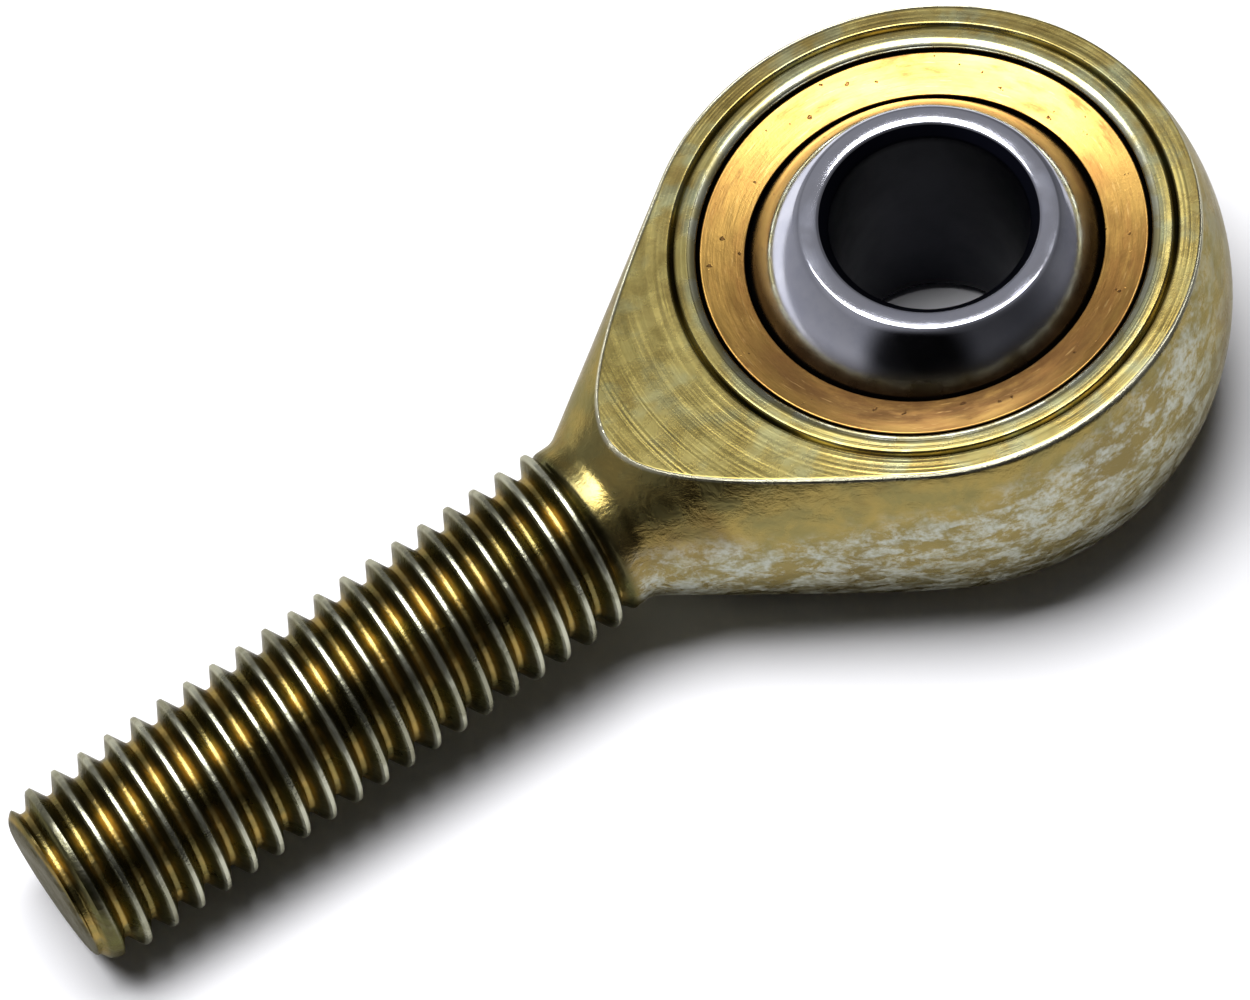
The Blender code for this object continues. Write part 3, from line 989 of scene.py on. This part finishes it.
def make_camera():
    """The view that the rod end is shown from, rolled so that the shank runs down to the left."""
    back = toward(VIEW_AZIMUTH, VIEW_ELEVATION)
    right = (-back).cross(Vector((0.0, 0.0, 1.0))).normalized()
    up = right.cross(-back)
    roll = math.radians(VIEW_ROLL)
    turned_right = math.cos(roll) * right + math.sin(roll) * up
    turned_up = math.cos(roll) * up - math.sin(roll) * right
    place = Matrix((turned_right, turned_up, back)).transposed().to_4x4()
    place.translation = VIEW_TARGET + VIEW_DISTANCE * back
    data = bpy.data.cameras.new("camera")
    data.lens = LENS
    data.sensor_width = SENSOR
    data.clip_start = 0.01
    data.clip_end = 10.0
    camera = bpy.data.objects.new("camera", data)
    camera.matrix_world = place
    bpy.context.scene.collection.objects.link(camera)
    bpy.context.scene.camera = camera


def make_floor():
    """A sheet of pale paper under the ball and the thread."""
    mesh = bpy.data.meshes.new("floor")
    across = FLOOR_NORMAL.cross(Vector((0.0, 1.0, 0.0))).normalized()
    along = FLOOR_NORMAL.cross(across)
    middle = -FLOOR_DROP * FLOOR_NORMAL
    signs = ((-1, -1), (1, -1), (1, 1), (-1, 1))
    corners = [middle + FLOOR_HALF * (i * across + j * along) for i, j in signs]
    mesh.from_pydata(corners, [], [(0, 1, 2, 3)])
    floor = bpy.data.objects.new("floor", mesh)
    bpy.context.scene.collection.objects.link(floor)
    material = bpy.data.materials.new("white_paper")
    material.use_nodes = True
    surface = material.node_tree.nodes["Principled BSDF"]
    surface.inputs["Base Color"].default_value = (0.88, 0.88, 0.91, 1.0)
    surface.inputs["Roughness"].default_value = 0.9
    surface.inputs["Specular IOR Level"].default_value = 0.1
    mesh.materials.append(material)


def make_softbox():
    """One area light overhead, with its longer edge along SOFTBOX_EDGE."""
    data = bpy.data.lights.new("overhead_softbox", "AREA")
    data.shape = "RECTANGLE"
    data.size, data.size_y = SOFTBOX_SIZE
    data.energy = SOFTBOX_POWER
    light = bpy.data.objects.new("overhead_softbox", data)
    away = SOFTBOX_AWAY.normalized()
    edge = (SOFTBOX_EDGE - SOFTBOX_EDGE.dot(away) * away).normalized()
    place = Matrix((edge, away.cross(edge), away)).transposed().to_4x4()
    place.translation = VIEW_TARGET + SOFTBOX_DISTANCE * away
    light.matrix_world = place
    bpy.context.scene.collection.objects.link(light)


class World:
    """The node tree of the room that the metal mirrors."""

    def __init__(self):
        world = bpy.data.worlds.new("studio")
        bpy.context.scene.world = world
        world.use_nodes = True
        self.tree = world.node_tree
        self.tree.nodes.clear()
        self.way = self.node("ShaderNodeTexCoord").outputs["Generated"]

    def node(self, kind, *sources, operation=None):
        node = self.tree.nodes.new(kind)
        if operation:
            node.operation = operation
        for socket, source in zip(node.inputs, sources):
            if isinstance(source, bpy.types.NodeSocket):
                self.tree.links.new(source, socket)
            else:
                socket.default_value = source
        return node

    def times(self, first, second):
        return self.node("ShaderNodeMath", first, second, operation="MULTIPLY").outputs[0]

    def lobe(self, azimuth, elevation, start, full, outside, inside):
        """A smooth change of level round one direction, between two cosines of the angle to it."""
        middle = toward(azimuth, elevation)
        near = self.node("ShaderNodeVectorMath", self.way, middle, operation="DOT_PRODUCT")
        nearness = near.outputs["Value"]
        shade = self.node("ShaderNodeMapRange", nearness, start, full, outside, inside)
        shade.interpolation_type = "SMOOTHSTEP"
        return shade.outputs[0]


def make_world():
    """A dim room, paler on the shank's side, with dark shapes low on the near side."""
    room = World()
    height = room.node("ShaderNodeSeparateXYZ", room.way).outputs[2]
    ramp = room.node("ShaderNodeValToRGB", height)
    stops = ramp.color_ramp.elements
    stops[0].position, stops[0].color = 0.0, (0.34, 0.34, 0.37, 1.0)
    stops[1].position, stops[1].color = 1.0, (0.26, 0.26, 0.28, 1.0)
    for position, level in ((0.2, 0.30), (0.5, 0.22), (0.8, 0.34)):
        stop = stops.new(position)
        stop.color = (level, level, level * 1.06, 1.0)
    near_side = room.lobe(-8.0, 12.0, 0.35, 0.88, 1.0, 0.22)
    dark_shape = room.lobe(-42.0, 18.0, 0.80, 0.94, 1.0, 0.03)
    crown_side = room.lobe(80.0, 8.0, 0.20, 0.90, 1.0, 0.55)
    shank_side = room.lobe(-112.0, 4.0, 0.20, 0.90, 1.0, 1.35)
    strength = room.times(room.times(room.times(near_side, dark_shape), crown_side), shank_side)
    # The room lights the floor less than it shows in the metal, which keeps the shadows deep.
    on_paper = room.node("ShaderNodeLightPath").outputs["Is Diffuse Ray"]
    dim = room.node("ShaderNodeMath", on_paper, ROOM_ON_FLOOR - 1.0, 1.0, operation="MULTIPLY_ADD")
    strength = room.times(strength, dim.outputs[0])
    back = room.node("ShaderNodeBackground", ramp.outputs[0], strength)
    room.node("ShaderNodeOutputWorld", back.outputs[0])


def make_stage():
    make_floor()
    make_world()
    make_softbox()
    make_camera()
    bpy.context.scene.view_settings.view_transform = "Standard"


def main():
    make_body()
    make_race("bronze_race_upper", "upper_race", 1)
    make_race("bronze_race_lower", "lower_race", -1)
    make_ball()
    make_grease()
    make_nipple()
    make_check_ball()
    make_spring()
    paint_all()
    make_stage()


main()
